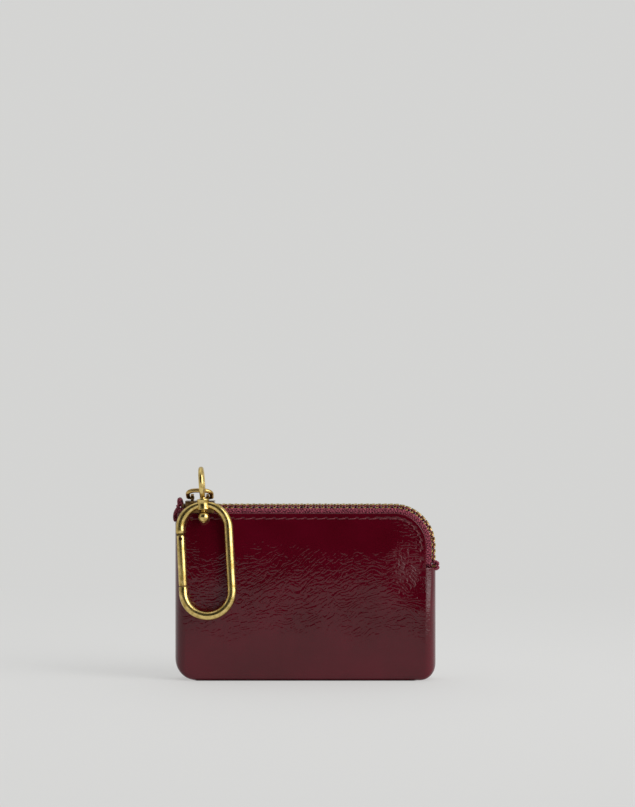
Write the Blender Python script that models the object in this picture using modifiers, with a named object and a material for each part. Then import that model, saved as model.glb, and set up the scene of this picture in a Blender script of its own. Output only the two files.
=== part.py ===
"""A small L-zip coin and card pouch in crinkled patent leather, with a spring-gate clip on its zip slider.

Metres, +Z up, front towards -Y. The pouch stands on its flat base. Shapes are drawn in the pouch frame: x = 0 at
the middle of the pouch, y = 0 on the seam between front and back, z = 0 under the base. PLACE then shifts
everything so that the world origin is at the bottom centre of the whole object's box.
"""
import math

import bmesh
import bpy
from mathutils import Matrix, Vector

MM = 0.001
GAP = 0.3 * MM
PLACE = Vector((-0.7, 3.05, 0)) * MM

# Pouch: outline, and how far the front bulges forward of the seam
HALF_WIDTH = 55 * MM
CORNER_LEFT = 9.5 * MM
CORNER_RIGHT = 7 * MM
SIDE_ROUND = 5 * MM
BASE_ROUND = 2.2 * MM
DEPTH_RIM = 5.3 * MM
DEPTH_MIDDLE = 9 * MM
DEPTH_BASE = 8.9 * MM
FULLEST_Z = 38 * MM
RIM_REACH = 32 * MM
PAST_SEAM = 1 * MM
SEAM_GAP = 0.15 * MM
LEATHER = 1.2 * MM
LEATHER_RIM_Z = 69.7 * MM
SIDE_SEAM_TOP = 46.8 * MM
LINING = 0.4 * MM
LINING_INSET = 2.35 * MM
LINING_DROP = 3.7 * MM
SHEET_TOP = 74 * MM

# Zip: the chain runs along the top, round the right corner and a little way down the right side
CHAIN_Z = 73.05 * MM
CHAIN_START_X = -48.6 * MM
BEND_X = 37.3 * MM
BEND_Z = 56.3 * MM
BEND_RADIUS = CHAIN_Z - BEND_Z
CHAIN_END_Z = 49.7 * MM
PITCH = 2.54 * MM
TOOTH_WIDTH = 0.95 * MM
TOOTH_HEIGHT = 1.8 * MM
TOOTH_ROOT_Y = 2.7 * MM
TOOTH_TIP_Y = -0.45 * MM
SPINE_IN = 2.3 * MM
SPINE_OUT = 3.1 * MM
SPINE_HEIGHT = 1 * MM
TAPE_IN = 3.4 * MM
TAPE_THICK = 0.4 * MM
TAPE_RISE = 0.3 * MM
TAPE_DROP = 7.5 * MM
TAPE_DROP_END = 3 * MM
STITCH_DROP = 1.9 * MM
THREAD_RADIUS = 0.25 * MM

# Mouth: the front above this line folds forward
FOLD_START = Vector((-36.8, -1.5, 71.9)) * MM
FOLD_END = Vector((55, -1.5, 48.6)) * MM
MOUTH_RANGE = math.radians(25)

# Slider and bail
SLIDER_LOW_X = -50.6 * MM
SLIDER_HIGH_X = -38.4 * MM
SLIDER_HALF_WIDTH = 4.9 * MM
FLANGE = 0.8 * MM
FLANGE_BOTTOM = 70.3 * MM
SLIDER_UNDER = 74.2 * MM
SLIDER_TOP = 75.2 * MM
LUG_THICK = 1.2 * MM
LUG_RADIUS = 1.7 * MM
LUG_BORE = 0.95 * MM
BAIL_PIVOT = Vector((-44.55, 0, 76.4)) * MM
BAIL_HALF_SPAN = 5 * MM
BAIL_RADIUS = 0.85 * MM
BAIL_PIN_SHARE = 0.75
BAIL_FORWARD = 6.6 * MM
BAIL_RISE = 3.36 * MM
BAIL_BEND = 3.4 * MM
BAIL_FOOT_BEND = 1 * MM

# Swivel eye and clip: both lie along CLIP_DOWN from the middle of the eye's ring
EYE_CENTRE = Vector((-43.5, -6.5, 83.1)) * MM
CLIP_DOWN = Vector((0.0593, -0.1219, -0.9908)).normalized()
EYE_RADIUS = 5.6 * MM
EYE_WIRE = 1.1 * MM
POST_RADIUS = 1.05 * MM
BALL_RADIUS = 2.4 * MM
BALL_DROP = 14.6 * MM
COLLAR_DROP = 9.285 * MM
COLLAR_RADIUS = 2.32 * MM
COLLAR_LENGTH = 4.5 * MM
COLLAR_BORE = 1.45 * MM
CLIP_RADIUS = 10.08 * MM
CLIP_WIRE = 1.85 * MM
CLIP_STRAIGHT = 26.4 * MM
GATE_TOP = 12 * MM
GATE_PIVOT = 13.95 * MM
GATE_BOTTOM = 33.85 * MM
GATE_WIRE = 1.75 * MM
GATE_BORE = 1.1 * MM
GATE_SLOT = 0.75 * MM
TONGUE_HALF = 0.42 * MM
TONGUE_RADIUS = 1.5 * MM
PIN_RADIUS = 0.5 * MM
SPRING_RADIUS = 0.7 * MM
SPRING_WIRE = 0.15 * MM
SPRING_TURNS = 9
PLUNGER_RADIUS = 0.8 * MM
PLUNGER_TIP = 1.95 * MM
PLUNGER_LENGTH = 4 * MM

CUTTER_REACH = 120 * MM
ROUND_STEPS = 24

FINISHES = {
    "leather": ((0.085, 0.004, 0.014), 0.0, 0.18),
    "lining": ((0.12, 0.03, 0.04), 0.0, 0.85),
    "tape": ((0.08, 0.01, 0.02), 0.0, 0.8),
    "thread": ((0.07, 0.008, 0.018), 0.0, 0.6),
    "brass": ((0.5, 0.34, 0.11), 1.0, 0.28),
    "steel": ((0.5, 0.5, 0.5), 1.0, 0.35),
}


# ---------------------------------------------------------------- scene and object helpers

def clear_scene():
    for old in list(bpy.data.objects):
        bpy.data.objects.remove(old)


def new_collection(name):
    made = bpy.data.collections.new(name)
    bpy.context.scene.collection.children.link(made)
    return made


def new_pivot(name, at, above=None):
    """An empty on a joint's axis, at a point of the pouch frame."""
    pivot = bpy.data.objects.new(name, None)
    pivot["at"] = at
    PARTS.objects.link(pivot)
    if above is None:
        pivot.location = PLACE + at
        return pivot
    pivot.parent = above
    pivot.location = at - Vector(above["at"])
    return pivot


def finish_material(name, kind):
    colour, metallic, roughness = FINISHES[kind]
    made = bpy.data.materials.new(name)
    made.use_nodes = True
    shader = made.node_tree.nodes["Principled BSDF"]
    shader.inputs["Base Color"].default_value = (*colour, 1)
    shader.inputs["Metallic"].default_value = metallic
    shader.inputs["Roughness"].default_value = roughness
    return made


def mesh_from(bm, name):
    bmesh.ops.remove_doubles(bm, verts=bm.verts, dist=1e-6)
    mesh = bpy.data.meshes.new(name)
    bm.to_mesh(mesh)
    bm.free()
    return mesh


def add_part(name, mesh, pivot, kind, smooth=False):
    """One sub-part. Its mesh is in the pouch frame, so its location undoes its pivot's."""
    part = bpy.data.objects.new(name, mesh)
    PARTS.objects.link(part)
    part.parent = pivot
    part.location = -Vector(pivot["at"])
    mesh.materials.append(finish_material(name, kind))
    if smooth:
        mesh.shade_smooth()
        mesh.set_sharp_from_angle(angle=math.radians(40))
    return part


def add_cutter(name, mesh):
    cutter = bpy.data.objects.new(name, mesh)
    CUTTERS.objects.link(cutter)
    cutter.location = PLACE
    cutter.hide_render = True
    cutter.display_type = "WIRE"
    return cutter


def solidify(part, thickness):
    wall = part.modifiers.new("wall", "SOLIDIFY")
    wall.thickness = thickness
    wall.offset = -1
    wall.use_even_offset = True


def combine(part, cutter, operation):
    step = part.modifiers.new(cutter.name, "BOOLEAN")
    step.operation = operation
    step.object = cutter
    step.solver = "EXACT"


# ---------------------------------------------------------------- meshes

def sheet(rows):
    """An open surface through rows of points, all rows the same length."""
    bm = bmesh.new()
    grid = [[bm.verts.new(p) for p in row] for row in rows]
    for low, high in zip(grid, grid[1:]):
        for a, b, c, d in zip(low, low[1:], high[1:], high):
            bm.faces.new((d, c, b, a))
    return bm


def prism(points, push):
    """A flat outline pushed straight along a vector, with its faces out."""
    bm = bmesh.new()
    face = bm.faces.new([bm.verts.new(p) for p in points])
    pushed = bmesh.ops.extrude_face_region(bm, geom=[face])["geom"]
    moved = [v for v in pushed if isinstance(v, bmesh.types.BMVert)]
    bmesh.ops.translate(bm, verts=moved, vec=push)
    bmesh.ops.recalc_face_normals(bm, faces=bm.faces)
    return bm


def add_box(bm, low, high, frame=Matrix.Identity(4)):
    low, high = Vector(low), Vector(high)
    size = Matrix.Diagonal((*(high - low), 1))
    bmesh.ops.create_cube(bm, size=1, matrix=frame @ Matrix.Translation((low + high) / 2) @ size)


def box_mesh(name, *boxes):
    bm = bmesh.new()
    for low, high in boxes:
        add_box(bm, low, high)
    return mesh_from(bm, name)


def turn_to(direction):
    """The rotation that takes +Z to a direction."""
    return Vector(direction).to_track_quat("Z", "Y").to_matrix().to_4x4()


def rod_mesh(name, start, end, radius):
    bm = bmesh.new()
    start, end = Vector(start), Vector(end)
    along = end - start
    place = Matrix.Translation((start + end) / 2) @ turn_to(along)
    bmesh.ops.create_cone(
        bm, cap_ends=True, segments=ROUND_STEPS, radius1=radius, radius2=radius, depth=along.length, matrix=place
    )
    return mesh_from(bm, name)


def ball_mesh(name, centre, radius):
    bm = bmesh.new()
    bmesh.ops.create_uvsphere(
        bm, u_segments=ROUND_STEPS, v_segments=ROUND_STEPS // 2, radius=radius, matrix=Matrix.Translation(centre)
    )
    return mesh_from(bm, name)


def wire_mesh(name, points, radius, closed=False, shares=None, resolution=3):
    """A round wire along points, as a closed mesh."""
    data = bpy.data.curves.new(name, "CURVE")
    data.dimensions = "3D"
    data.bevel_depth = radius
    data.bevel_resolution = resolution
    data.use_fill_caps = not closed
    line = data.splines.new("POLY")
    line.points.add(len(points) - 1)
    line.use_cyclic_u = closed
    for i, (slot, point) in enumerate(zip(line.points, points)):
        slot.co = (*point, 1)
        slot.radius = shares[i] if shares else 1
    curve = bpy.data.objects.new(name, data)
    bpy.context.scene.collection.objects.link(curve)
    bpy.context.view_layer.update()
    seen = curve.evaluated_get(bpy.context.evaluated_depsgraph_get())
    mesh = bpy.data.meshes.new_from_object(seen)
    bpy.data.objects.remove(curve)
    bm = bmesh.new()
    bm.from_mesh(mesh)
    return mesh_from(bm, name)


def arc(centre, across, along, radius, start, end, steps):
    """Points on an arc: angle 0 lies towards across and 90 degrees towards along."""
    angles = [math.radians(start + (end - start) * i / steps) for i in range(steps + 1)]
    return [centre + across * radius * math.cos(a) + along * radius * math.sin(a) for a in angles]


# ---------------------------------------------------------------- pouch shape

def ease(share):
    share = min(max(share, 0), 1)
    return (1 - math.cos(math.pi * share)) / 2


def rim_distance(x, z):
    """How far a point of the front lies inside the leather's edge along the zip."""
    edge_x = BEND_X + LEATHER_RIM_Z - BEND_Z
    if x <= BEND_X:
        top = LEATHER_RIM_Z - z
        return min(top, math.hypot(edge_x - x, max(SIDE_SEAM_TOP - z, 0)))
    if z >= BEND_Z:
        return edge_x - BEND_X - math.hypot(x - BEND_X, z - BEND_Z)
    return math.hypot(edge_x - x, max(SIDE_SEAM_TOP - z, 0))


def depth(x, z):
    """How far the outer leather lies in front of the seam plane, away from the side seams."""
    rise = (DEPTH_MIDDLE - DEPTH_RIM) * ease(rim_distance(x, z) / RIM_REACH)
    fall = (DEPTH_MIDDLE - DEPTH_BASE) * ease((FULLEST_Z - z) / FULLEST_Z)
    return DEPTH_RIM + rise - fall


def bottom_height(x, inset):
    """The height of the base under x, which rises round the two lower corners."""
    corner = (CORNER_LEFT if x < 0 else CORNER_RIGHT) - inset
    past = abs(x) - (HALF_WIDTH - inset - corner)
    if past <= 0:
        return inset
    return inset + corner - math.sqrt(max(corner * corner - past * past, 0))


def stations(inset):
    """(x, share of the full depth) from the left side seam to the right one."""
    half = HALF_WIDTH - inset
    side = SIDE_ROUND - inset
    turns = [math.radians(a) for a in (84, 62, 40, 18)]
    left = [(-half + side - side * math.sin(a), math.cos(a)) for a in turns]
    right = [(-x, share) for x, share in reversed(left)]
    flat = half - side
    near = flat - side
    count = 10
    evenly = [-near + 2 * near * i / count for i in range(count + 1)]
    middle = [-flat, -flat + side / 2, *evenly, flat - side / 2, flat]
    return left + [(x, 1) for x in middle] + right


def section(x, share, inset):
    """The outer profile at x, from past the seam under the base, forward and up the front."""
    low = bottom_height(x, inset)
    turn = BASE_ROUND - inset / 2
    front = depth(x, low + turn) - inset
    points = [(x, PAST_SEAM, low), (x, -share * (front - turn), low)]
    for angle in (math.radians(30), math.radians(60)):
        ahead = front - turn + turn * math.sin(angle)
        points.append((x, -share * ahead, low + turn * (1 - math.cos(angle))))
    count = 12
    for i in range(count + 1):
        z = low + turn + (SHEET_TOP - low - turn) * i / count
        points.append((x, -share * (depth(x, z) - inset), z))
    return points


def half_shell(inset):
    """The front half's outer surface, running past the seam plane on three sides."""
    rows = [section(x, share, inset) for x, share in stations(inset)]
    first = [(x, PAST_SEAM, z) for x, _, z in rows[0]]
    last = [(x, PAST_SEAM, z) for x, _, z in rows[-1]]
    return sheet([first, *rows, last])


def flip_to_back(bm):
    bmesh.ops.scale(bm, vec=(1, -1, 1), verts=bm.verts)
    bmesh.ops.reverse_faces(bm, faces=bm.faces)
    return bm


def rim_outline(drop):
    """A panel's outline, whose free edge lies drop inside the leather's own."""
    rim = LEATHER_RIM_Z - drop
    edge = BEND_X + rim - BEND_Z
    far = CUTTER_REACH
    low = -CUTTER_REACH
    centre = Vector((BEND_X, 0, BEND_Z))
    bend = arc(centre, Vector((1, 0, 0)), Vector((0, 0, 1)), rim - BEND_Z, 90, 0, 8)
    seam = SIDE_SEAM_TOP - drop
    corners = [(edge, 0, seam), (far, 0, seam), (far, 0, low), (low, 0, low), (low, 0, rim)]
    return [Vector(c) for c in corners] + bend


def half_space(name, drop, side):
    """The room that a panel may fill: inside its outline, and on its own side of the seam."""
    start = Vector((0, side * SEAM_GAP, 0))
    points = [p + start for p in rim_outline(drop)]
    return add_cutter(name, mesh_from(prism(points, Vector((0, side * CUTTER_REACH, 0))), name))


def fold_directions():
    along = (FOLD_END - FOLD_START).normalized()
    up = Vector((-along.z, 0, along.x))
    return along, up


def fold_room(name, above):
    """The room above the fold line, cut back in a V that closes as the mouth opens, or the room below it."""
    along, up = fold_directions()
    ahead = Vector((0, -CUTTER_REACH, 0))
    behind = Vector((0, CUTTER_REACH, 0))
    start = FOLD_START - along * CUTTER_REACH
    if above:
        slope = CUTTER_REACH * math.tan(MOUTH_RANGE + math.radians(1))
        edge = start + up * GAP / 2
        points = [edge + behind, edge, edge + ahead + up * slope]
        points += [start + ahead + up * 2 * CUTTER_REACH, start + behind + up * 2 * CUTTER_REACH]
    else:
        edge = start - up * GAP / 2
        points = [edge + behind, edge + ahead]
        points += [edge + ahead - up * 2 * CUTTER_REACH, edge + behind - up * 2 * CUTTER_REACH]
    return add_cutter(name, mesh_from(prism(points, along * 3 * CUTTER_REACH), name))


def add_shell(name, pivot, kind, inset, wall, rooms, back=False):
    bm = half_shell(inset)
    if back:
        bm = flip_to_back(bm)
    part = add_part(name, mesh_from(bm, name), pivot, kind)
    solidify(part, wall)
    for room in rooms:
        combine(part, room, "INTERSECT")


def make_pouch(root, flap):
    below = fold_room("below_fold", False)
    above = fold_room("above_fold", True)
    layers = (("panel", "leather", 0, LEATHER, 0), ("lining", "lining", LINING_INSET, LINING, LINING_DROP))
    for word, kind, inset, wall, drop in layers:
        front = half_space(word + "_front_room", drop, -1)
        back = half_space(word + "_back_room", drop, 1)
        add_shell("front_" + word, root, kind, inset, wall, (front, below))
        add_shell("back_" + word, root, kind, inset, wall, (back,), back=True)
        add_shell("mouth_flap_" + word, flap, kind, inset, wall, (front, above))


# ---------------------------------------------------------------- zip

def chain_length():
    return BEND_X - CHAIN_START_X + BEND_RADIUS * math.pi / 2 + BEND_Z - CHAIN_END_Z


def chain_frame(t, inside=0):
    """(point, outward, forward) at a length t along the chain, moved inside it by a distance."""
    straight = BEND_X - CHAIN_START_X
    turn = (t - straight) / BEND_RADIUS
    if turn <= 0:
        return Vector((CHAIN_START_X + t, 0, CHAIN_Z - inside)), Vector((0, 0, 1)), Vector((1, 0, 0))
    angle = min(turn, math.pi / 2)
    outward = Vector((math.sin(angle), 0, math.cos(angle)))
    forward = Vector((math.cos(angle), 0, -math.sin(angle)))
    point = Vector((BEND_X, 0, BEND_Z)) + outward * (BEND_RADIUS - inside)
    return point + forward * BEND_RADIUS * (turn - angle), outward, forward


def chain_steps(start, end):
    """Lengths along the chain from start to end: the ends of the straights, and close steps round the bend."""
    straight = BEND_X - CHAIN_START_X
    count = 10
    bend = [straight + BEND_RADIUS * math.pi / 2 * i / count for i in range(count + 1)]
    return [start] + [t for t in bend if start < t < end] + [end]


def strip(start, end, rise, drop, y, side):
    """A flat ribbon beside the chain, facing forward on the front half and back on the other."""
    rows = []
    for t in chain_steps(start, end):
        point, outward, _ = chain_frame(t)
        base = point + Vector((0, side * y, 0))
        rows.append((base - outward * drop, base + outward * rise))
    bm = sheet(rows)
    if side < 0:
        return bm
    bmesh.ops.reverse_faces(bm, faces=bm.faces)
    return bm


def tooth_places(side, first, last):
    """Lengths along the chain of one row's teeth. The back row is half a pitch on."""
    shift = PITCH / 2 if side > 0 else 0
    count = int((chain_length() - shift) / PITCH) + 1
    places = [shift + i * PITCH for i in range(count)]
    return [t for t in places if first <= t <= last]


def teeth_mesh(name, places, side):
    bm = bmesh.new()
    low_y, high_y = sorted((side * TOOTH_ROOT_Y, side * TOOTH_TIP_Y))
    half = TOOTH_WIDTH / 2
    for t in places:
        point, outward, forward = chain_frame(t)
        frame = Matrix((forward, (0, 1, 0), outward)).transposed().to_4x4()
        frame.translation = point
        add_box(bm, (-half, low_y, -TOOTH_HEIGHT / 2), (half, high_y, TOOTH_HEIGHT / 2), frame)
    bmesh.ops.recalc_face_normals(bm, faces=bm.faces)
    return mesh_from(bm, name)


def add_tooth_row(name, pivot, side, places):
    """One row: the spine that clamps the tape's edge, joined to every tooth."""
    end = PITCH / 3
    bm = strip(places[0] - end, places[-1] + end, SPINE_HEIGHT / 2, SPINE_HEIGHT / 2, SPINE_OUT, side)
    row = add_part(name, mesh_from(bm, name), pivot, "brass")
    solidify(row, SPINE_OUT - SPINE_IN)
    combine(row, add_cutter(name + "_teeth", teeth_mesh(name + "_teeth", places, side)), "UNION")


def add_tape(name, pivot, start, end, drop, side, rooms=()):
    outer = TAPE_IN + TAPE_THICK
    tape = add_part(name, mesh_from(strip(start, end, TAPE_RISE, drop, outer, side), name), pivot, "tape")
    solidify(tape, TAPE_THICK)
    for room in rooms:
        combine(tape, room, "INTERSECT")


def make_zip(root, flap):
    parting = SLIDER_HIGH_X + GAP - CHAIN_START_X
    end = chain_length()
    front_split = parting + PITCH / 3
    add_tooth_row("zip_teeth_back", root, 1, tooth_places(1, 0, end))
    add_tooth_row("zip_teeth_front_end", root, -1, tooth_places(-1, 0, front_split))
    add_tooth_row("zip_teeth_front", flap, -1, tooth_places(-1, front_split, end))
    above = bpy.data.objects["above_fold"]
    below = bpy.data.objects["below_fold"]
    add_tape("zip_tape_back_end", root, -GAP, parting - GAP, TAPE_DROP_END, 1)
    add_tape("zip_tape_front_end", root, -GAP, parting - GAP, TAPE_DROP_END, -1)
    add_tape("zip_tape_back", root, parting, end, TAPE_DROP, 1)
    add_tape("zip_tape_front_low", root, parting, chain_length() / 2, TAPE_DROP, -1, (below,))
    add_tape("zip_tape_front", flap, parting, end, TAPE_DROP, -1, (above,))


def make_zip_ends(root):
    """The stops that the slider meets, and the folded tape ends beyond them."""
    stop_low = CHAIN_Z - TOOTH_HEIGHT / 2
    stop_high = CHAIN_Z + TOOTH_HEIGHT / 2
    right = BEND_X + BEND_RADIUS
    for word, side in (("front", -1), ("back", 1)):
        near, far = sorted((side * 0.6 * MM, side * SPINE_OUT))
        name = "zip_top_stop_" + word
        low, high = (-52 * MM, near, stop_low), (-51 * MM, far, stop_high)
        add_part(name, box_mesh(name, (low, high)), root, "brass")
    low, high = (right - 0.9 * MM, -2.4 * MM, 47.2 * MM), (right + 0.85 * MM, 2.4 * MM, 48.4 * MM)
    add_part("zip_bottom_stop", box_mesh("zip_bottom_stop", (low, high)), root, "brass")
    low, high = (55.25 * MM, -1.6 * MM, 46.9 * MM), (56.4 * MM, 1.6 * MM, 48.9 * MM)
    add_part("zip_end_tab_right", box_mesh("zip_end_tab_right", (low, high)), root, "tape")
    outline = [Vector((x, -1.6, z)) * MM for x, z in ((-54.9, 70), (-53.3, 70), (-52.3, 75.9), (-53.5, 76.1))]
    tab = mesh_from(prism(outline, Vector((0, 3.2 * MM, 0))), "zip_end_tab_left")
    add_part("zip_end_tab_left", tab, root, "tape")


def stitch_line(start, end, side):
    """A thread just outside the leather, between two lengths along the chain."""
    inside = CHAIN_Z - LEATHER_RIM_Z + STITCH_DROP
    count = 24
    points = []
    for i in range(count + 1):
        point = chain_frame(start + (end - start) * i / count, inside)[0]
        clear = THREAD_RADIUS + GAP
        points.append(point + Vector((0, side * (depth(point.x, point.z) + clear), 0)))
    return points


def make_stitching(root, flap):
    end = chain_length() - PITCH
    left = CHAIN_START_X
    rows = (
        ("topstitch_back", root, 0, end, 1),
        ("topstitch_front_left", root, 0, -24 * MM - left, -1),
        ("topstitch_front", flap, -9 * MM - left, end - PITCH, -1),
    )
    for name, pivot, start, stop, side in rows:
        mesh = wire_mesh(name, stitch_line(start, stop, side), THREAD_RADIUS, resolution=1)
        add_part(name, mesh, pivot, "thread")


# ---------------------------------------------------------------- slider and bail

def make_slider(slider):
    """The slider's upper casting: a plate over the teeth, two flanges outside the tapes, and two lugs."""
    wide = SLIDER_HALF_WIDTH
    inner = wide - FLANGE
    outline = [(-wide, FLANGE_BOTTOM), (-wide, SLIDER_TOP), (wide, SLIDER_TOP), (wide, FLANGE_BOTTOM)]
    outline += [(inner, FLANGE_BOTTOM), (inner, SLIDER_UNDER), (-inner, SLIDER_UNDER), (-inner, FLANGE_BOTTOM)]
    length = Vector((SLIDER_HIGH_X - SLIDER_LOW_X, 0, 0))
    channel = prism([Vector((SLIDER_LOW_X, y, z)) for y, z in outline], length)
    body = add_part("zip_slider_body", mesh_from(channel, "zip_slider_body"), slider, "brass")
    ahead, up = Vector((0, 1, 0)), Vector((0, 0, 1))
    for word, side in (("left", -1), ("right", 1)):
        centre = BAIL_PIVOT + Vector((side * (BAIL_HALF_SPAN - 1.75 * MM) - LUG_THICK / 2, 0, 0))
        foot = Vector((centre.x, 0, SLIDER_UNDER + GAP))
        lug = arc(centre, ahead, up, LUG_RADIUS, 0, 180, 10)
        lug += [foot - ahead * LUG_RADIUS, foot + ahead * LUG_RADIUS]
        name = "slider_lug_" + word
        combine(body, add_cutter(name, mesh_from(prism(lug, Vector((LUG_THICK, 0, 0))), name)), "UNION")
    reach = Vector((BAIL_HALF_SPAN + LUG_THICK, 0, 0))
    bore = rod_mesh("slider_lug_bore", BAIL_PIVOT - reach, BAIL_PIVOT + reach, LUG_BORE)
    combine(body, add_cutter("slider_lug_bore", bore), "DIFFERENCE")
    low = (SLIDER_LOW_X + MM / 2, -1.9 * MM, 71 * MM)
    high = (SLIDER_HIGH_X - MM / 2, 1.9 * MM, 71.75 * MM)
    add_part("zip_slider_lower_plate", box_mesh("zip_slider_lower_plate", (low, high)), slider, "brass")


def make_bail(bail):
    """A bent wire: pins through the lugs, legs that lean forward, and the bar that the clip's eye rides on."""
    across = Vector((1, 0, 0))
    ahead = Vector((0, -BAIL_FORWARD, BAIL_RISE))
    lean = ahead.normalized()
    bar = BAIL_PIVOT + ahead
    turn = BAIL_BEND
    foot = BAIL_FOOT_BEND
    points = []
    for side in (-1, 1):
        half = [BAIL_PIVOT + across * side * (BAIL_HALF_SPAN - 2.6 * MM)]
        half += arc(
            BAIL_PIVOT + across * side * (BAIL_HALF_SPAN - foot) + lean * foot,
            -lean, across * side, foot, 0, 90, 4,
        )
        half += arc(bar + across * side * (BAIL_HALF_SPAN - turn) - lean * turn, across * side, lean, turn, 0, 90, 6)
        points += half if side < 0 else list(reversed(half))
    shares = [BAIL_PIN_SHARE if (p - BAIL_PIVOT).dot(lean) < MM / 5 else 1 for p in points]
    add_part("slider_bail", wire_mesh("slider_bail", points, BAIL_RADIUS, shares=shares), bail, "brass", True)


# ---------------------------------------------------------------- swivel eye, clip and gate

def clip_axes():
    """(origin at the collar's middle, right, down, ahead) of the clip."""
    right = (Vector((1, 0, 0)) - CLIP_DOWN * CLIP_DOWN.x).normalized()
    ahead = CLIP_DOWN.cross(right)
    return EYE_CENTRE + CLIP_DOWN * COLLAR_DROP, right, CLIP_DOWN, ahead


def clip_point(u, w, v=0):
    origin, right, down, ahead = clip_axes()
    return origin + right * u + down * w + ahead * v


def make_eye(eye):
    """The ring on the bail, its post through the clip's collar, and the ball that keeps it there."""
    _, right, down, ahead = clip_axes()
    ring = arc(EYE_CENTRE, down, ahead, EYE_RADIUS, 0, 352.5, 47)
    part = add_part("swivel_eye", wire_mesh("swivel_eye", ring, EYE_WIRE, closed=True), eye, "brass", True)
    post = rod_mesh("eye_post", EYE_CENTRE + down * EYE_RADIUS, EYE_CENTRE + down * BALL_DROP, POST_RADIUS)
    combine(part, add_cutter("eye_post", post), "UNION")
    ball = ball_mesh("eye_ball", EYE_CENTRE + down * BALL_DROP, BALL_RADIUS)
    combine(part, add_cutter("eye_ball", ball), "UNION")


def clip_line():
    """The clip's bent wire, from above the gate over the top, down the right and round to below the gate."""
    origin, right, down, _ = clip_axes()
    left = [clip_point(-CLIP_RADIUS, GATE_TOP)]
    top = arc(clip_point(0, CLIP_RADIUS), right, down, CLIP_RADIUS, 180, 360, 20)
    low = arc(clip_point(0, CLIP_RADIUS + CLIP_STRAIGHT), right, down, CLIP_RADIUS, 0, 180, 20)
    return left + top + low + [clip_point(-CLIP_RADIUS, GATE_BOTTOM)]


def make_clip(clip):
    _, right, down, ahead = clip_axes()
    frame = add_part("carabiner_frame", wire_mesh("carabiner_frame", clip_line(), CLIP_WIRE), clip, "brass", True)
    half = COLLAR_LENGTH / 2
    collar = rod_mesh("clip_collar", clip_point(0, -half), clip_point(0, half), COLLAR_RADIUS)
    combine(frame, add_cutter("clip_collar", collar), "UNION")
    bore = rod_mesh("clip_bore", clip_point(0, -2 * half), clip_point(0, 2 * half), COLLAR_BORE)
    combine(frame, add_cutter("clip_bore", bore), "DIFFERENCE")
    tongue = clip_point(-CLIP_RADIUS, GATE_PIVOT)
    disc = rod_mesh("clip_tongue_eye", tongue - ahead * TONGUE_HALF, tongue + ahead * TONGUE_HALF, TONGUE_RADIUS)
    combine(frame, add_cutter("clip_tongue_eye", disc), "UNION")
    bm = bmesh.new()
    turn = Matrix((right, ahead, down)).transposed().to_4x4()
    turn.translation = tongue
    low = (-TONGUE_RADIUS, -TONGUE_HALF, -2 * CLIP_WIRE)
    add_box(bm, low, (TONGUE_RADIUS, TONGUE_HALF, 0), turn)
    bmesh.ops.recalc_face_normals(bm, faces=bm.faces)
    combine(frame, add_cutter("clip_tongue", mesh_from(bm, "clip_tongue")), "UNION")
    reach = ahead * 3 * CLIP_WIRE
    hole = rod_mesh("gate_pin_hole", tongue - reach, tongue + reach, PIN_RADIUS + GAP)
    combine(frame, add_cutter("gate_pin_hole", hole), "DIFFERENCE")
    pin = rod_mesh("gate_pin", tongue - ahead * GATE_WIRE, tongue + ahead * GATE_WIRE, PIN_RADIUS)
    add_part("gate_pin", pin, clip, "brass", True)


def make_gate(gate):
    """The gate's tube, slotted round the clip's tongue, with a spring and a plunger inside."""
    _, right, down, ahead = clip_axes()
    pivot = clip_point(-CLIP_RADIUS, GATE_PIVOT)
    end = clip_point(-CLIP_RADIUS, GATE_BOTTOM - GAP)
    body = add_part("carabiner_gate", rod_mesh("carabiner_gate", pivot, end, GATE_WIRE), gate, "brass", True)
    combine(body, add_cutter("gate_end_ball", ball_mesh("gate_end_ball", pivot, GATE_WIRE)), "UNION")
    bore_top = pivot + down * MM
    bore_end = clip_point(-CLIP_RADIUS, GATE_BOTTOM - 1.5 * MM)
    bore = rod_mesh("gate_bore", bore_top, bore_end, GATE_BORE)
    combine(body, add_cutter("gate_bore", bore), "DIFFERENCE")
    bm = bmesh.new()
    turn = Matrix((right, ahead, down)).transposed().to_4x4()
    turn.translation = pivot
    wide = 2 * GATE_WIRE
    add_box(bm, (-wide, -GATE_SLOT, -wide), (wide, GATE_SLOT, TONGUE_RADIUS + GAP), turn)
    bmesh.ops.recalc_face_normals(bm, faces=bm.faces)
    combine(body, add_cutter("gate_slot", mesh_from(bm, "gate_slot")), "DIFFERENCE")
    combine(body, bpy.data.objects["gate_pin_hole"], "DIFFERENCE")
    tip = pivot + down * PLUNGER_TIP
    tail = tip + down * PLUNGER_LENGTH
    add_part("gate_plunger", rod_mesh("gate_plunger", tip, tail, PLUNGER_RADIUS), gate, "steel", True)
    steps = 10 * SPRING_TURNS
    start = tail + down * (SPRING_WIRE + GAP)
    run = (bore_end - start).length - SPRING_WIRE - GAP
    coil = []
    for i in range(steps + 1):
        angle = 2 * math.pi * SPRING_TURNS * i / steps
        around = right * math.cos(angle) + ahead * math.sin(angle)
        coil.append(start + down * run * i / steps + around * SPRING_RADIUS)
    add_part("gate_spring", wire_mesh("gate_spring", coil, SPRING_WIRE, resolution=1), gate, "steel")


# ---------------------------------------------------------------- assembly

clear_scene()
PARTS = new_collection("zip_pouch")
CUTTERS = new_collection("cutters")

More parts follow.
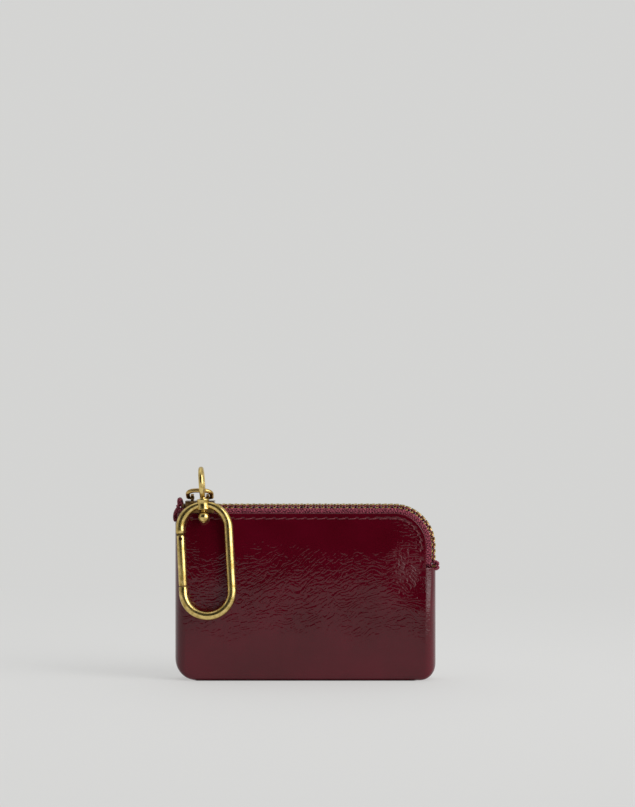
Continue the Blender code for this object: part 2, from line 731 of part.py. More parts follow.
root_pivot = new_pivot("pouch", Vector((0, 0, 0)))
flap_pivot = new_pivot("mouth_fold", FOLD_START, root_pivot)
slider_pivot = new_pivot("slider", Vector((BAIL_PIVOT.x, 0, CHAIN_Z)), root_pivot)
bail_pivot = new_pivot("bail_hinge", BAIL_PIVOT, slider_pivot)
clip_pivot = new_pivot("clip_hinge", EYE_CENTRE, bail_pivot)
gate_pivot = new_pivot("gate_hinge", clip_point(-CLIP_RADIUS, GATE_PIVOT), clip_pivot)
eye_pivot = new_pivot("eye_swivel", clip_point(0, 0), clip_pivot)

make_pouch(root_pivot, flap_pivot)
make_zip(root_pivot, flap_pivot)
make_zip_ends(root_pivot)
make_stitching(root_pivot, flap_pivot)
make_slider(slider_pivot)
make_bail(bail_pivot)
make_clip(clip_pivot)
make_gate(gate_pivot)
make_eye(eye_pivot)
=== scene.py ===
"""The looks of a small crinkled patent leather zip pouch with an antique-brass clip.

Everything is drawn in the pouch frame, which part.py shares: x = 0 at the middle of the pouch, y = 0 on the
seam between front and back, z = 0 under the base. PLACE takes it to the frame that the model is packed in.
"""
import math

import bmesh
import bpy
import numpy as np
from mathutils import Matrix, Vector


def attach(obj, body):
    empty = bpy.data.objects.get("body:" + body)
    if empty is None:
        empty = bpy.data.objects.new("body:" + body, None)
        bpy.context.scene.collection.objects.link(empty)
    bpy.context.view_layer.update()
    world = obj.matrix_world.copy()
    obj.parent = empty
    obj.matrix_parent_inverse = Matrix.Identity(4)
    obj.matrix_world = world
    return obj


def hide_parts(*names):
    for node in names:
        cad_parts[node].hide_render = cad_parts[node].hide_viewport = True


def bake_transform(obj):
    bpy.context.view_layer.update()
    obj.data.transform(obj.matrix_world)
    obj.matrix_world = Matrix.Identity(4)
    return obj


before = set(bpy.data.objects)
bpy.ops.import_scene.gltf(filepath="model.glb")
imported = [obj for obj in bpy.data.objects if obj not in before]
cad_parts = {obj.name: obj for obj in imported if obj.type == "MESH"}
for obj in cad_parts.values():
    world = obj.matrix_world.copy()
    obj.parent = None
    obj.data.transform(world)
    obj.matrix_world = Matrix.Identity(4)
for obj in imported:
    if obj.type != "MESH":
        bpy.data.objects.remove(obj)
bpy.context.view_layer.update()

MM = 0.001
PLACE = Vector((-0.7, 3.05, 0)) * MM

# Pouch, as in the CAD model
HALF_WIDTH = 55 * MM
CORNER_LEFT = 9.5 * MM
CORNER_RIGHT = 7 * MM
SIDE_ROUND = 5 * MM
BASE_ROUND = 2.2 * MM
DEPTH_RIM = 5.3 * MM
DEPTH_MIDDLE = 9 * MM
DEPTH_BASE = 7.8 * MM
FULLEST_Z = 38 * MM
BEND_REACH = 20 * MM
BEND_SHARE = 0.35
SEAM_GAP = 0.12 * MM
LEATHER = 1 * MM
RIM_Z = 69.7 * MM
SEAM_TOP = 46.8 * MM
SURFACE_TOP = 76 * MM
LINING_INSET = 2.4 * MM
LINING_WALL = 0.3 * MM
LINING_DROP = 3.7 * MM
LINING_WAVE = 0.12 * MM
FRONT_GRID = (400, 600)
BACK_GRID = (320, 440)
LINING_GRID = (60, 90)

# Leather surface
STITCH_DROP = 1.9 * MM
DIMPLE = 0.24 * MM
DIMPLE_WIDTH = 0.55 * MM
CREASE = 0.1 * MM
CREASE_BEND = 1.1 * MM
CREASED_FROM = (14 * MM, 23 * MM)
CREASED_TO = (51 * MM, 62 * MM)
CREASED_CORNER = ((44 * MM, 60 * MM), (9 * MM, 8 * MM))
CREASED_LEFT = ((-50 * MM, 60 * MM), (8 * MM, 10 * MM))
CREASE_PITCH = 0.92 * MM
FINE_PITCH = 0.62 * MM
BROAD_SWELL = 0.16 * MM
FINE_SWELL = 0.05 * MM
HEM_DEPTH = 7 * MM
BASE_ROWS = 0.12
PLAIN_SHARE = 0.25
FRONT_SEED = 7
BACK_SEED = 41
LINING_SEED = 5

# Zip
CHAIN_Z = 73.05 * MM
CHAIN_START_X = -48.6 * MM
BEND_X = 37.3 * MM
BEND_Z = 56.3 * MM
BEND_RADIUS = CHAIN_Z - BEND_Z
CHAIN_END_Z = 49.7 * MM
PITCH = 2.54 * MM
TOOTH_WIDTH = 1.12 * MM
TAPE_OUT = 3.6 * MM
TAPE_END_OUT = 2.2 * MM
TAPE_LEFT = 6 * MM
TAPE_RIGHT = 4.2 * MM
KNIT = 1.27 * MM
TAPE_DROP = 5 * MM
TAPE_LOW_DROP = 2.4 * MM
TAPE_PARTING_X = -37.5 * MM
TAPE_WALL = 0.2 * MM
COURSE = 0.8 * MM
LOOP = 0.17
LOOP_SINK = 0.06
CORD_RADIUS = 0.28 * MM
CORD_Y = 2.72 * MM
CORD_STEPS = 460
STITCH_START = 1.2 * MM
STITCH_PITCH = 4.35 * MM
STITCH_LENGTH = 3.25 * MM
THREAD = 0.26 * MM
THREAD_ARCH = 0.4
THREAD_SINK = 0.36
THREAD_SLANT = 0.3 * MM
END_KNIT = 0.9 * MM
END_WALL = 1 * MM
LEFT_END = (
    (-51.7, 72.4), (-52.4, 76.2), (-53.9, 76), (-53.6, 72.8), (-55.3, 70.6), (-55.6, 67.6), (-55, 66.6),
)
RIGHT_END = (
    (53.2, 49.3), (54.6, 49.3), (56.3, 48.6), (54.4, 48.1),
    (54.4, 47.7), (56.3, 47.0), (54.6, 46.5), (53.4, 46.6),
)

# Bail, eye and clip
BAIL_PIVOT = Vector((-44.55, 0, 76.4)) * MM
BAIL_HALF_SPAN = 5 * MM
BAIL_RADIUS = 0.9 * MM
BAIL_PIN_SHARE = 0.71
BAIL_FORWARD = 6.6 * MM
BAIL_RISE = 3.36 * MM
BAIL_BEND = 3.5 * MM
BAIL_FOOT_BEND = 1 * MM
BAIL_PIN = 2.6 * MM
BAIL_PIN_STRAIGHT = 0.8 * MM
EYE_CENTRE = Vector((-43.5, -6.5, 83.1)) * MM
CLIP_DOWN = Vector((0.0593, -0.1219, -0.9908)).normalized()
EYE_RADIUS = 5.6 * MM
EYE_WIRE = 1.1 * MM
POST_RADIUS = 1.05 * MM
BALL_RADIUS = 2.4 * MM
BALL_DROP = 14.6 * MM
NUB_RADIUS = 0.95 * MM
COLLAR_DROP = 9.285 * MM
COLLAR_RADIUS = 2.55 * MM
COLLAR_HALF = 2.25 * MM
COLLAR_BORE = 1.45 * MM
LIP_TURN = 0.25 * MM
LIP_WIDTH = 0.75 * MM
LIP_SLOPE = 0.2 * MM
LIP_HEIGHT = 0.1575 * MM
CLIP_RADIUS = 10.08 * MM
CLIP_WIRE = 1.85 * MM
CLIP_STRAIGHT = 26.4 * MM
CLIP_NECK = 1.42 * MM
WIRE_END_TURN = 0.2 * MM
WIRE_END_STEP = 0.24 * MM
GATE_TOP = 11.5 * MM
GATE_START = 12.45 * MM
GATE_PIVOT = 13.95 * MM
GATE_BOTTOM = 33.85 * MM
GATE_WIRE = 1.75 * MM
GATE_BORE = 1.1 * MM
GATE_SLOT = 0.75 * MM
GAP = 0.3 * MM
TONGUE_HALF = 0.42 * MM
TONGUE_RADIUS = 1.5 * MM
PIN_HOLE = 0.8 * MM

# Stage
FLOOR_LEVEL = 0.66
FLOOR_GLOW = 0.42
FLOOR_PAINT = 0.35
FLOOR_FADE = (0.12, 0.5)
# The floor's painted contact shadow under the base: its half depth, and the width of its soft edge.
BASE_SHADOW_HALF_DEPTH = 6.8 * MM
BASE_SHADE = 1.2 * MM
WARMTH = 0.985
STUDIO_LEVEL = 0.55
STUDIO_DARK = 0.02
DARK_WAY = Vector((-0.05, -1, 0.25)).normalized()
WINDOW_WAY = Vector((0.84, -0.52, 0.14)).normalized()
WINDOW_LEVEL = 2.4
CAMERA_PLACE = Vector((0.0051, -0.945, 0.1163))


# ---------------------------------------------------------------- objects

def mesh_object(name, points, faces):
    """A piece from points of the pouch frame."""
    mesh = bpy.data.meshes.new(name)
    shifted = np.asarray(points, float) + np.array(PLACE)
    mesh.from_pydata(shifted.tolist(), [], faces)
    mesh.update()
    piece = bpy.data.objects.new(name, mesh)
    bpy.context.scene.collection.objects.link(piece)
    return piece


def object_from(bm, name):
    """A piece from a bmesh drawn in the pouch frame."""
    bmesh.ops.remove_doubles(bm, verts=bm.verts, dist=1e-7)
    bmesh.ops.recalc_face_normals(bm, faces=bm.faces)
    bmesh.ops.translate(bm, verts=bm.verts, vec=PLACE)
    mesh = bpy.data.meshes.new(name)
    bm.to_mesh(mesh)
    bm.free()
    piece = bpy.data.objects.new(name, mesh)
    bpy.context.scene.collection.objects.link(piece)
    return piece


def smooth(piece, angle=None):
    """Shades a piece smooth, but for edges sharper than an angle in degrees."""
    piece.data.shade_smooth()
    if angle:
        piece.data.set_sharp_from_angle(angle=math.radians(angle))
    return piece


def dress(piece, material):
    """Gives a piece its one material."""
    piece.data.materials.clear()
    piece.data.materials.append(material)
    return piece


def modify(piece, kind, **settings):
    step = piece.modifiers.new(kind.lower(), kind)
    for key, value in settings.items():
        setattr(step, key, value)
    return step


def bake(piece):
    """Applies the piece's modifiers."""
    seen = piece.evaluated_get(bpy.context.evaluated_depsgraph_get())
    mesh = bpy.data.meshes.new_from_object(seen)
    piece.modifiers.clear()
    piece.data = mesh
    return piece


def combine(piece, other, operation):
    """Joins another solid to the piece, or cuts it away."""
    modify(piece, "BOOLEAN", operation=operation, object=other, solver="EXACT")
    bpy.context.view_layer.update()
    bake(piece)
    bpy.data.objects.remove(other)
    return piece


def grid_faces(rows, columns, flip=False, ring=False):
    """Quads over a grid of points, stored row by row. A ring joins each row's end to its start."""
    faces = []
    for i in range(rows - 1):
        for j in range(columns if ring else columns - 1):
            k = (j + 1) % columns
            quad = (i * columns + j, i * columns + k, (i + 1) * columns + k, (i + 1) * columns + j)
            faces.append(quad[::-1] if flip else quad)
    return faces


def tube_mesh(line, radii, sides=24, closed=False):
    """(points, faces) of a round tube along a line, whose rings don't twist from one to the next."""
    line = [Vector(p) for p in line]
    count = len(line)
    points = []
    side = None
    for i, p in enumerate(line):
        before = line[i - 1] if closed or i else p
        after = line[(i + 1) % count] if closed or i < count - 1 else p
        along = (after - before).normalized()
        if side is None:
            side = along.orthogonal().normalized()
        side = (side - along * side.dot(along)).normalized()
        other = along.cross(side)
        for k in range(sides):
            a = 2 * math.pi * k / sides
            points.append(p + (side * math.cos(a) + other * math.sin(a)) * radii[i])
    faces = grid_faces(count, sides, ring=True)
    if closed:
        last = (count - 1) * sides
        offset = nearest_turn(points, last, sides)
        for k in range(sides):
            m = (k + 1) % sides
            faces.append((last + k, last + m, (m + offset) % sides, (k + offset) % sides))
    else:
        faces.append(tuple(reversed(range(sides))))
        faces.append(tuple(range((count - 1) * sides, count * sides)))
    return points, faces


def nearest_turn(points, last, sides):
    """How far the last ring is turned against the first one, in sides."""
    return min(range(sides), key=lambda k: (points[last] - points[k]).length)


def lathe(profile, origin, along, sides=48):
    """A turned solid: profile is (distance along, radius), from one end to the other."""
    along = Vector(along).normalized()
    side = along.orthogonal().normalized()
    other = along.cross(side)
    points = []
    for w, r in profile:
        for k in range(sides):
            a = 2 * math.pi * k / sides
            points.append(origin + along * w + (side * math.cos(a) + other * math.sin(a)) * max(r, 1e-6))
    faces = grid_faces(len(profile), sides, ring=True)
    faces.append(tuple(reversed(range(sides))))
    faces.append(tuple(range((len(profile) - 1) * sides, len(profile) * sides)))
    return points, faces


def joined(*meshes):
    """Several (points, faces) as one."""
    points, faces = [], []
    for some_points, some_faces in meshes:
        start = len(points)
        points += list(some_points)
        faces += [tuple(start + i for i in face) for face in some_faces]
    return points, faces


def arc(centre, across, along, radius, start, end, steps):
    """Points of an arc, from one angle to another in degrees, turning from across to along."""
    angles = [math.radians(start + (end - start) * i / steps) for i in range(steps + 1)]
    return [centre + across * radius * math.cos(a) + along * radius * math.sin(a) for a in angles]


# ---------------------------------------------------------------- noise

def value_noise(x, z, cell, seed):
    """Smooth noise from 0 to 1 over points, with cells of one size."""
    size = 128
    table = np.random.default_rng(seed).random((size, size))
    u, v = x / cell + 1000.37, z / cell + 1000.71
    i, j = np.floor(u).astype(int), np.floor(v).astype(int)
    a, b = u - i, v - j
    a, b = (t ** 3 * (t * (t * 6 - 15) + 10) for t in (a, b))
    i0, i1, j0, j1 = i % size, (i + 1) % size, j % size, (j + 1) % size
    low = table[i0, j0] * (1 - a) + table[i1, j0] * a
    high = table[i0, j1] * (1 - a) + table[i1, j1] * a
    return low * (1 - b) + high * b


def ramp(value, low, high):
    """0 up to the low value, 1 past the high one, and smooth between."""
    t = np.clip((value - low) / (high - low), 0, 1)
    return t * t * (3 - 2 * t)


def crease_flow(x, z, seed):
    """The way the crinkles run, in degrees up from level: steeper in the middle, level at the sides."""
    wander = 30 * (value_noise(x, z, 17 * MM, seed + 5) - 0.5) * 2
    return 22 + wander - 18 * ramp(x, 8 * MM, 38 * MM) - 24 * ramp(-x, 32 * MM, 50 * MM)


def crease_field(x, z, seed):
    """Crinkles of patent leather, from about -1.5 in a crease to 0: flat cells with narrow creases between.

    The creases of several directions are mixed, each most where the flow runs its way.
    """
    wx = x + CREASE_BEND * (value_noise(x, z, 5 * MM, seed) - 0.5) * 2
    wz = z + CREASE_BEND * (value_noise(x, z, 5 * MM, seed + 1) - 0.5) * 2
    flow = crease_flow(x, z, seed)
    total = np.zeros_like(x)
    weight = np.full_like(x, 1e-6)
    for k, degrees in enumerate(range(-42, 67, 12)):
        a = math.radians(degrees)
        along = wx * math.cos(a) + wz * math.sin(a)
        across = -wx * math.sin(a) + wz * math.cos(a)
        broad = np.abs(2 * value_noise(along / 3.4, across, CREASE_PITCH, seed + 10 + k) - 1)
        fine = np.abs(2 * value_noise(along / 2, across, FINE_PITCH, seed + 30 + k) - 1)
        here = np.exp(-(((degrees - flow) / 7.5) ** 2))
        total -= here * ((1 - ramp(broad, 0, 0.4)) + 0.5 * (1 - ramp(fine, 0, 0.34)))
        weight += here
    return total / weight


def spot(x, z, middle, spread):
    """1 in the middle of an oval spot, fading to 0 round it."""
    return np.exp(-(((x - middle[0]) / spread[0]) ** 2 + ((z - middle[1]) / spread[1]) ** 2))


def crease_mask(x, z, seed):
    """Where the leather is crinkled: a broad middle band, the corner by the bend and under the slider."""
    ragged = 8 * MM * (value_noise(x, z, 14 * MM, seed + 50) - 0.5)
    band = ramp(z + ragged, *CREASED_FROM) * (1 - ramp(z + ragged, *CREASED_TO))
    corner = spot(x, z, *CREASED_CORNER)
    left = spot(x, z, *CREASED_LEFT)
    patchy = 0.65 + 0.7 * value_noise(x, z, 12 * MM, seed + 60)
    return np.clip(band * patchy + 1.1 * corner + 0.8 * left + 0.06, 0, 1.1)


# ---------------------------------------------------------------- pouch surface

def ease(share):
    """A smooth rise from 0 to 1."""
    return (1 - np.cos(math.pi * np.clip(share, 0, 1))) / 2


def rim_distance(x, z):
    """How far a point of the front lies inside the leather's edge along the zip."""
    return np.where(x <= BEND_X, np.minimum(RIM_Z - z, bend_distance(x, z)), bend_distance(x, z))


def bend_distance(x, z):
    """How far a point lies from the zip's bend and from its run down the right side."""
    reach = RIM_Z - BEND_Z
    side = np.hypot(BEND_X + reach - x, np.maximum(SEAM_TOP - z, 0))
    bend = reach - np.hypot(x - BEND_X, z - BEND_Z)
    before = np.minimum(np.hypot(BEND_X - x, RIM_Z - z), side)
    return np.where(x <= BEND_X, before, np.where(z < BEND_Z, side, bend))


def depth(x, z):
    """How far the front stands out from the seam: it leans back from its fullest height to the rim."""
    lean = np.sin(np.clip((RIM_Z - z) / (RIM_Z - FULLEST_Z), 0, 1) * math.pi / 2)
    pillow = BEND_SHARE + (1 - BEND_SHARE) * ease(bend_distance(x, z) / BEND_REACH)
    rise = (DEPTH_MIDDLE - DEPTH_RIM) * lean * pillow
    fall = (DEPTH_MIDDLE - DEPTH_BASE) * ease((FULLEST_Z - z) / FULLEST_Z)
    return DEPTH_RIM + rise - fall


def bottom_height(x, inset):
    """The height of the panel's lower edge, which turns up at its two rounded corners."""
    corner = np.where(x < 0, CORNER_LEFT, CORNER_RIGHT) - inset
    past = np.clip(np.abs(x) - (HALF_WIDTH - inset - corner), 0, corner)
    return inset + corner - np.sqrt(np.maximum(corner ** 2 - past ** 2, 0))


def wrap(u, inset):
    """(x, share of the full depth) at a distance u across the unrolled panel."""
    side = SIDE_ROUND - inset
    flat = HALF_WIDTH - inset - side
    turn = np.clip((np.abs(u) - flat) / side, 0, math.pi / 2)
    return np.sign(u) * (np.minimum(np.abs(u), flat) + side * np.sin(turn)), np.cos(turn)


def unrolled_height(x, z, inset):
    """The height up the unrolled panel that lies at z."""
    low = bottom_height(x, inset) + BASE_ROUND
    return BASE_ROUND + (z - low) * (SURFACE_TOP - BASE_ROUND) / (SURFACE_TOP - low)


def panel_outline(u, drop, inset):
    """The panel's upper edge, unrolled, at shares u of its length from the left seam to the right one."""
    rim = RIM_Z - drop
    seam = SEAM_TOP - drop
    reach = rim - BEND_Z
    half = HALF_WIDTH - inset - (SIDE_ROUND - inset) * (1 - math.pi / 2)
    runs = (half + BEND_X, reach * math.pi / 2, BEND_Z - seam, half - BEND_X - reach)
    at = u * sum(runs)
    turn = np.clip((at - runs[0]) / reach, 0, math.pi / 2)
    down = np.clip(at - runs[0] - runs[1], 0, runs[2])
    out = np.clip(at - sum(runs[:3]), 0, runs[3])
    across = -half + np.minimum(at, runs[0]) + reach * np.sin(turn) + out
    up = BEND_Z + reach * np.cos(turn) - down
    return across, unrolled_height(wrap(across, inset)[0], up, inset)


def panel_points(rows, columns, drop, inset, relief):
    """Points over the front half, as (rows, columns, 3): from the seam under the base, up to the rim."""
    a = np.linspace(0, 1, columns)[None, :]
    b = np.interp(np.linspace(0, 1, rows), (0, BASE_ROWS, 1), (0, PLAIN_SHARE, 1))[:, None]
    top_u, top_v = panel_outline(a, drop, inset)
    half = -top_u[0, 0]
    under = DEPTH_BASE - inset - BASE_ROUND
    bottom_v = BASE_ROUND * (1 - math.pi / 2) - under
    bottom_u = -half + 2 * half * a
    left_v = bottom_v + (top_v[0, 0] - bottom_v) * b
    right_v = bottom_v + (top_v[0, -1] - bottom_v) * b
    u = (1 - b) * bottom_u + b * top_u
    edges = (1 - a) * left_v + a * right_v
    corners = (1 - b) * bottom_v + b * ((1 - a) * top_v[0, 0] + a * top_v[0, -1])
    v = (1 - b) * bottom_v + b * top_v + edges - corners
    x, share = wrap(u, inset)
    low = bottom_height(x, inset) + BASE_ROUND
    past = v - BASE_ROUND
    z = np.where(past >= 0, low + past * (SURFACE_TOP - low) / (SURFACE_TOP - BASE_ROUND), 0)
    turn = np.clip(-past / BASE_ROUND, 0, math.pi / 2)
    z = np.where(past < 0, low - BASE_ROUND * np.sin(turn), z)
    front = depth(x, np.maximum(z, low)) - inset
    curved = front - BASE_ROUND * (1 - np.cos(turn))
    back = np.clip((-past - BASE_ROUND * math.pi / 2) / under, 0, 1)
    ahead = np.where(back > 0, (front - BASE_ROUND) * (1 - back) + SEAM_GAP * back, curved)
    height = relief(x, z) * np.where(back > 0, 0, 1) * share if relief else 0
    y = -np.maximum(share * ahead + height, SEAM_GAP)
    return np.stack(np.broadcast_arrays(x, y, z), axis=-1)


def leather_relief(seed):
    """The height of the outer surface over the plain shape: crinkles, soft unevenness, and stitch holes."""
    def relief(x, z):
        inside = rim_distance(x, z)
        off_edge = ramp(inside, 3 * MM, 8 * MM)
        creases = CREASE * crease_field(x, z, seed) * crease_mask(x, z, seed) * ramp(inside, 2.2 * MM, 4 * MM)
        soft = BROAD_SWELL * (value_noise(x, z, 19 * MM, seed + 70) - 0.5) * off_edge
        soft += FINE_SWELL * (value_noise(x, z, 7 * MM, seed + 71) - 0.5) * off_edge
        return creases + soft - stitch_dimples(x, z)
    return relief


def along_chain(x, z):
    """The length along the chain that lies beside a point."""
    straight = BEND_X - CHAIN_START_X
    angle = np.arctan2(np.maximum(x - BEND_X, 0), np.maximum(z - BEND_Z, 1e-9))
    before = x - CHAIN_START_X
    bend = straight + BEND_RADIUS * angle
    after = straight + BEND_RADIUS * math.pi / 2 + BEND_Z - z
    return np.where(x <= BEND_X, before, np.where(z >= BEND_Z, bend, after))


def stitch_dimples(x, z):
    """The leather is drawn in where the thread goes through it."""
    t = along_chain(x, z) - STITCH_START
    hole = STITCH_LENGTH + (STITCH_PITCH - STITCH_LENGTH) / 2
    off = (t - hole + STITCH_PITCH / 2) % STITCH_PITCH - STITCH_PITCH / 2
    down = rim_distance(x, z) - STITCH_DROP
    beside = np.exp(-((off / DIMPLE_WIDTH) ** 2) / 1.6) * 0.75 + 0.25
    reach = ramp(z, SEAM_TOP, SEAM_TOP + 2 * MM) * ramp(x, -HALF_WIDTH, -HALF_WIDTH + 4 * MM)
    return DIMPLE * beside * np.exp(-((down / DIMPLE_WIDTH) ** 2)) * reach


def hem(points, wall):
    """Rows that turn the upper edge inward by the leather's thickness and run down inside it."""
    rim, below = points[-1], points[-2]
    up = rim - below
    up /= np.linalg.norm(up, axis=1, keepdims=True)
    inward = np.zeros_like(rim)
    inward[:, 1] = 1
    rows = []
    for degrees in (30, 60, 90, 120, 150):
        a = math.radians(degrees)
        rows.append(rim + wall / 2 * (inward * (1 - math.cos(a)) + up * math.sin(a)))
    room = np.minimum(wall, np.maximum(-rim[:, 1:2] - SEAM_GAP, 0))
    for share in np.linspace(0, 1, 12):
        rows.append(rim + inward * room - up * HEM_DEPTH * share)
    return np.concatenate([points, np.array(rows)])


def shell(name, grid, drop, inset, wall, relief, back):
    """A half of the pouch: the front, or its mirror image at the back. A wall turns its rim inward."""
    points = panel_points(*grid, drop, inset, relief)
    if wall:
        points = hem(points, wall)
    if back:
        points = points * np.array((1, -1, 1))
    faces = grid_faces(len(points), grid[1], flip=back)
    return smooth(mesh_object(name, points.reshape(-1, 3), faces))


def bend_with_mouth(piece):
    """A piece of the front, whose place is baked into its points."""
    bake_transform(piece)


def make_leather(material):
    front = shell("leather_front", FRONT_GRID, 0, 0, LEATHER, leather_relief(FRONT_SEED), False)
    dress(front, material)
    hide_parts("front_panel", "mouth_flap_panel")
    bend_with_mouth(front)
    back = shell("leather_back", BACK_GRID, 0, 0, LEATHER, leather_relief(BACK_SEED), True)
    dress(back, material)
    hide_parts("back_panel")
    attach(back, "pouch")


def make_lining(material):
    def relief(x, z):
        return LINING_WAVE * (value_noise(x, z, 9 * MM, LINING_SEED) - 0.5)
    front = shell("lining_front", LINING_GRID, LINING_DROP, LINING_INSET, 0, relief, False)
    dress(front, material)
    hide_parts("front_lining", "mouth_flap_lining")
    bend_with_mouth(front)
    back = shell("lining_back", LINING_GRID, LINING_DROP, LINING_INSET, 0, relief, True)
    dress(back, material)
    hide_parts("back_lining")
    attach(back, "pouch")
    for piece in (front, back):
        modify(piece, "SOLIDIFY", thickness=LINING_WALL, offset=-1)


# ---------------------------------------------------------------- zip

def chain_length():
    return BEND_X - CHAIN_START_X + BEND_RADIUS * math.pi / 2 + BEND_Z - CHAIN_END_Z


def chain_frame(t, inside=0):
    """(point, outward, forward) at a length t along the chain, moved inside it by a distance."""
    straight = BEND_X - CHAIN_START_X
    turn = (t - straight) / BEND_RADIUS
    if turn <= 0:
        return Vector((CHAIN_START_X + t, 0, CHAIN_Z - inside)), Vector((0, 0, 1)), Vector((1, 0, 0))
    angle = min(turn, math.pi / 2)
    outward = Vector((math.sin(angle), 0, math.cos(angle)))
    forward = Vector((math.cos(angle), 0, -math.sin(angle)))
    point = Vector((BEND_X, 0, BEND_Z)) + outward * (BEND_RADIUS - inside)
    return point + forward * BEND_RADIUS * (turn - angle), outward, forward


def end_share(t):
    """1 along the zip, falling to 0 where the tape's two ends tuck in behind the leather."""
    return float(ramp(np.float64(t), -TAPE_LEFT + 0.4 * MM, -1.8 * MM)
                 * (1 - ramp(np.float64(t), chain_length() + 0.4 * MM, chain_length() + 3 * MM)))


def tape_profile(drop):
    """The tape from the teeth's clamp over its edge and down behind the leather, as (distance out, drop)."""
    points = [(3.0, 0.78), (3.2, 0.84), (3.42, 0.98), (3.55, 1.12)]
    points += [(TAPE_OUT / MM, 1.25 + 0.155 * i) for i in range(18)]
    last = drop / MM
    points += [(TAPE_OUT / MM, 4 + (last - 4) * (i + 1) / 4) for i in range(4)]
    return [(y * MM, n * MM) for y, n in points]


def make_tape(name, side, material):
    """A knitted tape: its loops are in the mesh."""
    length = TAPE_LEFT + chain_length() + TAPE_RIGHT
    count = int(length / (KNIT / 10))
    parting = TAPE_PARTING_X - CHAIN_START_X
    rows = []
    for i in range(count + 1):
        t = -TAPE_LEFT + length * i / count
        point, outward, _ = chain_frame(t)
        drop = TAPE_DROP + TAPE_LOW_DROP * float(ramp(np.float64(t), parting - 1 * MM, parting + 1 * MM))
        tuck = (TAPE_OUT - TAPE_END_OUT) * (1 - end_share(t))
        for out, below in tape_profile(drop):
            phase = 2 * math.pi * (t / KNIT + 0.5 * math.floor(below / COURSE))
            loop = max(math.sin(phase), -0.2) * abs(math.sin(math.pi * below / COURSE))
            lift = (LOOP * loop - LOOP_SINK) * MM * float(ramp(np.float64(below), 0.9 * MM, 1.25 * MM))
            rows.append(point - outward * below + Vector((0, side * (out + lift - tuck), 0)))
    columns = len(tape_profile(TAPE_DROP))
    tape = mesh_object(name, rows, grid_faces(count + 1, columns, flip=side > 0))
    smooth(tape)
    modify(tape, "SOLIDIFY", thickness=TAPE_WALL, offset=-1)
    return dress(tape, material)


def cord_mesh(side):
    """The corded edge that the teeth grip, twisted like rope."""
    line = []
    for i in range(CORD_STEPS + 1):
        t = -TAPE_LEFT + (TAPE_LEFT + chain_length() + TAPE_RIGHT) * i / CORD_STEPS
        tuck = (TAPE_OUT - TAPE_END_OUT) * (1 - end_share(t))
        line.append(chain_frame(t)[0] + Vector((0, side * (CORD_Y - tuck), 0)))
    radii = [CORD_RADIUS * (0.94 + 0.06 * math.sin(2 * math.pi * i / 6)) for i in range(CORD_STEPS + 1)]
    return tube_mesh(line, radii, 10)


TOOTH_OUTLINE = (
    (-3.28, 0.88), (-1.3, 0.9), (-0.7, 0.78), (0.2, 0.68), (0.42, 0.42),
    (0.42, -0.42), (0.2, -0.68), (-0.7, -0.78), (-1.3, -0.9), (-3.28, -0.88),
    (-3.28, -0.34), (-2.2, -0.32), (-2.2, 0.32), (-3.28, 0.34),
)


def tooth_bmesh():
    """One tooth at the origin: its head towards +Y, its two legs towards -Y, its width along X."""
    bm = bmesh.new()
    face = bm.faces.new([bm.verts.new((-TOOTH_WIDTH / 2, y * MM, n * MM)) for y, n in TOOTH_OUTLINE])
    pushed = bmesh.ops.extrude_face_region(bm, geom=[face])["geom"]
    moved = [v for v in pushed if isinstance(v, bmesh.types.BMVert)]
    bmesh.ops.translate(bm, verts=moved, vec=(TOOTH_WIDTH, 0, 0))
    bmesh.ops.recalc_face_normals(bm, faces=bm.faces)
    bmesh.ops.bevel(bm, geom=bm.edges[:], offset=0.1 * MM, segments=2, profile=0.5, affect="EDGES")
    return bm


def make_teeth(name, side, material):
    tooth = tooth_bmesh()
    shape = [v.co.copy() for v in tooth.verts]
    shape_faces = [tuple(v.index for v in f.verts) for f in tooth.faces]
    tooth.free()
    shift = PITCH / 2 if side > 0 else 0
    meshes = []
    for i in range(int((chain_length() - shift) / PITCH) + 1):
        point, outward, forward = chain_frame(shift + i * PITCH)
        turned = [point + forward * p.x + outward * p.z + Vector((0, -side * p.y, 0)) for p in shape]
        faces = shape_faces if side < 0 else [f[::-1] for f in shape_faces]
        meshes.append((turned, faces))
    points, faces = joined(*meshes)
    return dress(smooth(mesh_object(name, points, faces), 35), material)


def make_zip(tape_material, brass):
    """Both halves of the zip. The front half's teeth sit on a flexible tape."""
    halves = (
        ("front", -1, ("zip_tape_front", "zip_tape_front_end", "zip_tape_front_low"),
         ("zip_teeth_front", "zip_teeth_front_end")),
        ("back", 1, ("zip_tape_back", "zip_tape_back_end"), ("zip_teeth_back",)),
    )
    for word, side, tapes, rows in halves:
        tape = make_tape("tape_" + word, side, tape_material)
        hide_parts(*tapes)
        points, faces = cord_mesh(side)
        cord = smooth(mesh_object("tape_cord_" + word, points, faces))
        dress(cord, tape_material)
        teeth = make_teeth("teeth_" + word, side, brass)
        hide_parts(*rows)
        for piece in (tape, cord, teeth):
            if side < 0:
                bend_with_mouth(piece)
            else:
                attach(piece, "pouch")


def stitch_meshes(side):
    """Separate stitches: each comes up from one hole, lies on the leather and dives into the next."""
    inside = CHAIN_Z - RIM_Z + STITCH_DROP
    count = int((chain_length() - STITCH_START - PITCH) / STITCH_PITCH)
    steps = 12
    meshes = []
    for i in range(count):
        line, radii = [], []
        for k in range(steps + 1):
            share = k / steps
            point, outward, _ = chain_frame(STITCH_START + i * STITCH_PITCH + STITCH_LENGTH * share, inside)
            arch = math.sin(math.pi * share)
            out = float(depth(point.x, point.z)) + (THREAD_ARCH * arch ** 0.5 - THREAD_SINK) * MM
            slant = (share - 0.5) * THREAD_SLANT
            line.append(point + outward * slant + Vector((0, side * out, 0)))
            radii.append(THREAD * (0.78 + 0.22 * arch))
        meshes.append(tube_mesh(line, radii, 10))
    return joined(*meshes)


